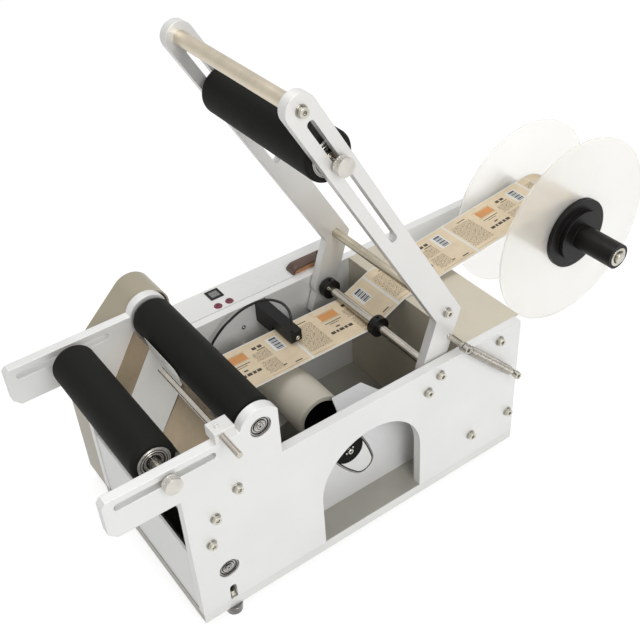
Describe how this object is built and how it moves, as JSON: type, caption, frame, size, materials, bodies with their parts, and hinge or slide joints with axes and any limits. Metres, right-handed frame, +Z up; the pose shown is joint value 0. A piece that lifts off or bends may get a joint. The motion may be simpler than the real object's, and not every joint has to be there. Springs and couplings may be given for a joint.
{
  "type": "bottle labeling machine",
  "caption": "Bench-top labeler that turns a round bottle on driven rollers under a lever-pressed roller while a label peels off a web fed from a rear reel.",
  "frame": {"origin": "under the middle of the bounding box, on the plane the feet stand on", "axes": "+X from the bottle rollers to the label reel, +Y from the open side plate to the drive cover, +Z up"},
  "size_m": [0.907, 0.34, 0.6076],
  "materials": {
    "satin_aluminium": "satin anodised",
    "bright_steel": "bright plated",
    "black_rubber": "matt rubber",
    "black_plastic": "matt",
    "white_paint": "satin paint",
    "beige_paint": "satin paint",
    "milky_plastic": "translucent milky",
    "label_paper": "smooth film",
    "red_plastic": "gloss",
    "brown_plastic": "moulded"
  },
  "bodies": {
    "frame": {"base_plate": "satin_aluminium", "near_plate": "satin_aluminium", "far_plate": "satin_aluminium", "end_panels": "satin_aluminium", "inner_wall": "white_paint", "peel_plate": "bright_steel", "cross_bars": "bright_steel", "rear_deck": "beige_paint", "plate_screws": "bright_steel", "shaft_bearings": "bright_steel", "pivot_rod": "bright_steel", "stop_block": "satin_aluminium", "gear_motor": "bright_steel", "drive_belts": "black_rubber", "sensor_fork": "black_plastic", "sensor_cable": "black_plastic", "side_cover": "white_paint", "control_panel": "white_paint", "counter_display": "black_plastic", "switch_body": "brown_plastic", "power_inlet": "black_plastic", "reel_shaft": "bright_steel", "label_web": "label_paper", "feet": "black_rubber"},
    "press_frame": {"near_arm": "satin_aluminium", "far_arm": "satin_aluminium", "handle_bar": "bright_steel", "arm_tie": "bright_steel", "arm_screws": "bright_steel", "spring_stud": "bright_steel"},
    "press_carriage": {"press_axle": "bright_steel"},
    "press_wheel": {"press_roller": "black_rubber", "press_bearings": "bright_steel"},
    "press_near_knob": {"press_near_knob": "bright_steel"},
    "press_far_knob": {"press_far_knob": "bright_steel"},
    "front_carriage": {"front_axle": "bright_steel"},
    "front_wheel": {"front_roller": "black_rubber", "front_bearings": "bright_steel"},
    "front_near_knob": {"front_near_knob": "bright_steel"},
    "front_far_knob": {"front_far_knob": "bright_steel"},
    "drive_wheel": {"drive_roller": "black_rubber", "drive_shaft": "bright_steel"},
    "pull_wheel": {"pull_roller": "black_rubber"},
    "pinch_wheel": {"pinch_roller": "black_rubber"},
    "takeup": {"takeup_drum": "beige_paint"},
    "motor_output": {"motor_shaft": "bright_steel"},
    "reel": {"spool_hub": "black_plastic", "label_roll": "label_paper", "far_disc": "milky_plastic"},
    "reel_cheek": {"near_disc": "milky_plastic", "near_hub": "black_plastic"},
    "near_collar": {"near_collar": "black_plastic"},
    "far_collar": {"far_collar": "black_plastic"},
    "stop_rod": {"stop_rod": "bright_steel"},
    "start_button": {"start_button": "red_plastic"},
    "reset_button": {"reset_button": "red_plastic"},
    "switch_plunger": {"switch_plunger": "black_plastic"},
    "power_rocker": {"power_rocker": "black_plastic"},
    "spring": {"spring_coil": "bright_steel"},
    "spring_tail": {"spring_end": "bright_steel"}
  },
  "joints": [
    {"name": "arm_swing", "type": "hinge", "parent": "frame", "child": "press_frame", "pos_m": [-0.0242, -0.0075, 0.1987], "axis": [0, -1, 0], "range_deg": [0, 45], "stiffness_Nm_per_rad": 4, "springref_deg": -42.97},
    {"name": "press_roller_height", "type": "slide", "parent": "press_frame", "child": "press_carriage", "axis": [-0.4962, 0, 0.8682], "range_m": [-0.128, 0.036]},
    {"name": "press_roller_spin", "type": "hinge", "parent": "press_carriage", "child": "press_wheel", "pos_m": [-0.14664, -0.0075, 0.52419], "axis": [0, 1, 0], "continuous": true},
    {"name": "press_near_knob_turn", "type": "hinge", "parent": "press_carriage", "child": "press_near_knob", "pos_m": [-0.14664, -0.128, 0.52419], "axis": [0, 1, 0], "range_deg": [0, 180]},
    {"name": "press_far_knob_turn", "type": "hinge", "parent": "press_carriage", "child": "press_far_knob", "pos_m": [-0.14664, 0.11, 0.52419], "axis": [0, 1, 0], "range_deg": [-180, 0]},
    {"name": "front_roller_slide", "type": "slide", "parent": "frame", "child": "front_carriage", "axis": [1, 0, 0], "range_m": [-0.054, 0.038]},
    {"name": "front_roller_spin", "type": "hinge", "parent": "front_carriage", "child": "front_wheel", "pos_m": [-0.381, -0.0075, 0.2605], "axis": [0, 1, 0], "continuous": true},
    {"name": "front_near_knob_turn", "type": "hinge", "parent": "front_carriage", "child": "front_near_knob", "pos_m": [-0.381, -0.142, 0.2605], "axis": [0, 1, 0], "range_deg": [0, 180]},
    {"name": "front_far_knob_turn", "type": "hinge", "parent": "front_carriage", "child": "front_far_knob", "pos_m": [-0.381, 0.124, 0.2605], "axis": [0, 1, 0], "range_deg": [-180, 0]},
    {"name": "drive_spin", "type": "hinge", "parent": "frame", "child": "drive_wheel", "pos_m": [-0.2711, -0.0075, 0.2657], "axis": [0, 1, 0], "continuous": true},
    {"name": "pull_spin", "type": "hinge", "parent": "frame", "child": "pull_wheel", "pos_m": [-0.333, -0.0075, 0.081], "axis": [0, 1, 0], "continuous": true},
    {"name": "pinch_spin", "type": "hinge", "parent": "frame", "child": "pinch_wheel", "pos_m": [-0.32165, -0.0075, 0.0498], "axis": [0, 1, 0], "continuous": true},
    {"name": "takeup_spin", "type": "hinge", "parent": "frame", "child": "takeup", "pos_m": [-0.1505, 0.024, 0.151], "axis": [0, 1, 0], "continuous": true},
    {"name": "motor_spin", "type": "hinge", "parent": "frame", "child": "motor_output", "pos_m": [-0.1225, 0.114, 0.091], "axis": [0, 1, 0], "continuous": true},
    {"name": "reel_spin", "type": "hinge", "parent": "frame", "child": "reel", "pos_m": [0.3145, 0.024, 0.202], "axis": [0, 1, 0], "continuous": true},
    {"name": "reel_cheek_slide", "type": "slide", "parent": "reel", "child": "reel_cheek", "axis": [0, -1, 0], "range_m": [0, 0.055]},
    {"name": "near_collar_slide", "type": "slide", "parent": "frame", "child": "near_collar", "axis": [0, 1, 0], "range_m": [-0.08, 0]},
    {"name": "far_collar_slide", "type": "slide", "parent": "frame", "child": "far_collar", "axis": [0, 1, 0], "range_m": [-0.013, 0.002]},
    {"name": "stop_rod_slide", "type": "slide", "parent": "frame", "child": "stop_rod", "axis": [0, 1, 0], "range_m": [-0.09, 0.025]},
    {"name": "start_button_press", "type": "slide", "parent": "frame", "child": "start_button", "axis": [0, 0, -1], "range_m": [0, 0.0015], "stiffness_N_per_m": 400, "springref_m": -0.001},
    {"name": "reset_button_press", "type": "slide", "parent": "frame", "child": "reset_button", "axis": [0, 0, -1], "range_m": [0, 0.0015], "stiffness_N_per_m": 400, "springref_m": -0.001},
    {"name": "switch_plunger_press", "type": "slide", "parent": "frame", "child": "switch_plunger", "axis": [0, 0, -1], "range_m": [0, 0.002], "stiffness_N_per_m": 300, "springref_m": -0.001},
    {"name": "power_rocker_tilt", "type": "hinge", "parent": "frame", "child": "power_rocker", "pos_m": [0.025, 0.1455, 0.108], "axis": [0, 1, 0], "range_deg": [-16, 0]},
    {"name": "spring_swivel", "type": "hinge", "parent": "frame", "child": "spring", "pos_m": [0.0905, -0.148, 0.145], "axis": [0, -1, 0], "range_deg": [-1, 8]},
    {"name": "spring_stretch", "type": "slide", "parent": "spring", "child": "spring_tail", "axis": [-0.7012, 0, 0.7129], "range_m": [-0.001, 0.032], "deforming": ["spring_coil"]}
  ],
  "couplings": [
    {"joint": "pull_spin", "follows": "drive_spin", "ratio": 1.25},
    {"joint": "motor_spin", "follows": "drive_spin", "ratio": 1.25},
    {"joint": "takeup_spin", "follows": "drive_spin", "ratio": 0.75},
    {"joint": "pinch_spin", "follows": "drive_spin", "ratio": -2.0833},
    {"joint": "spring_swivel", "follows": "arm_swing", "ratio": 0.146},
    {"joint": "spring_stretch", "follows": "arm_swing", "m_per_rad": 0.0389}
  ]
}
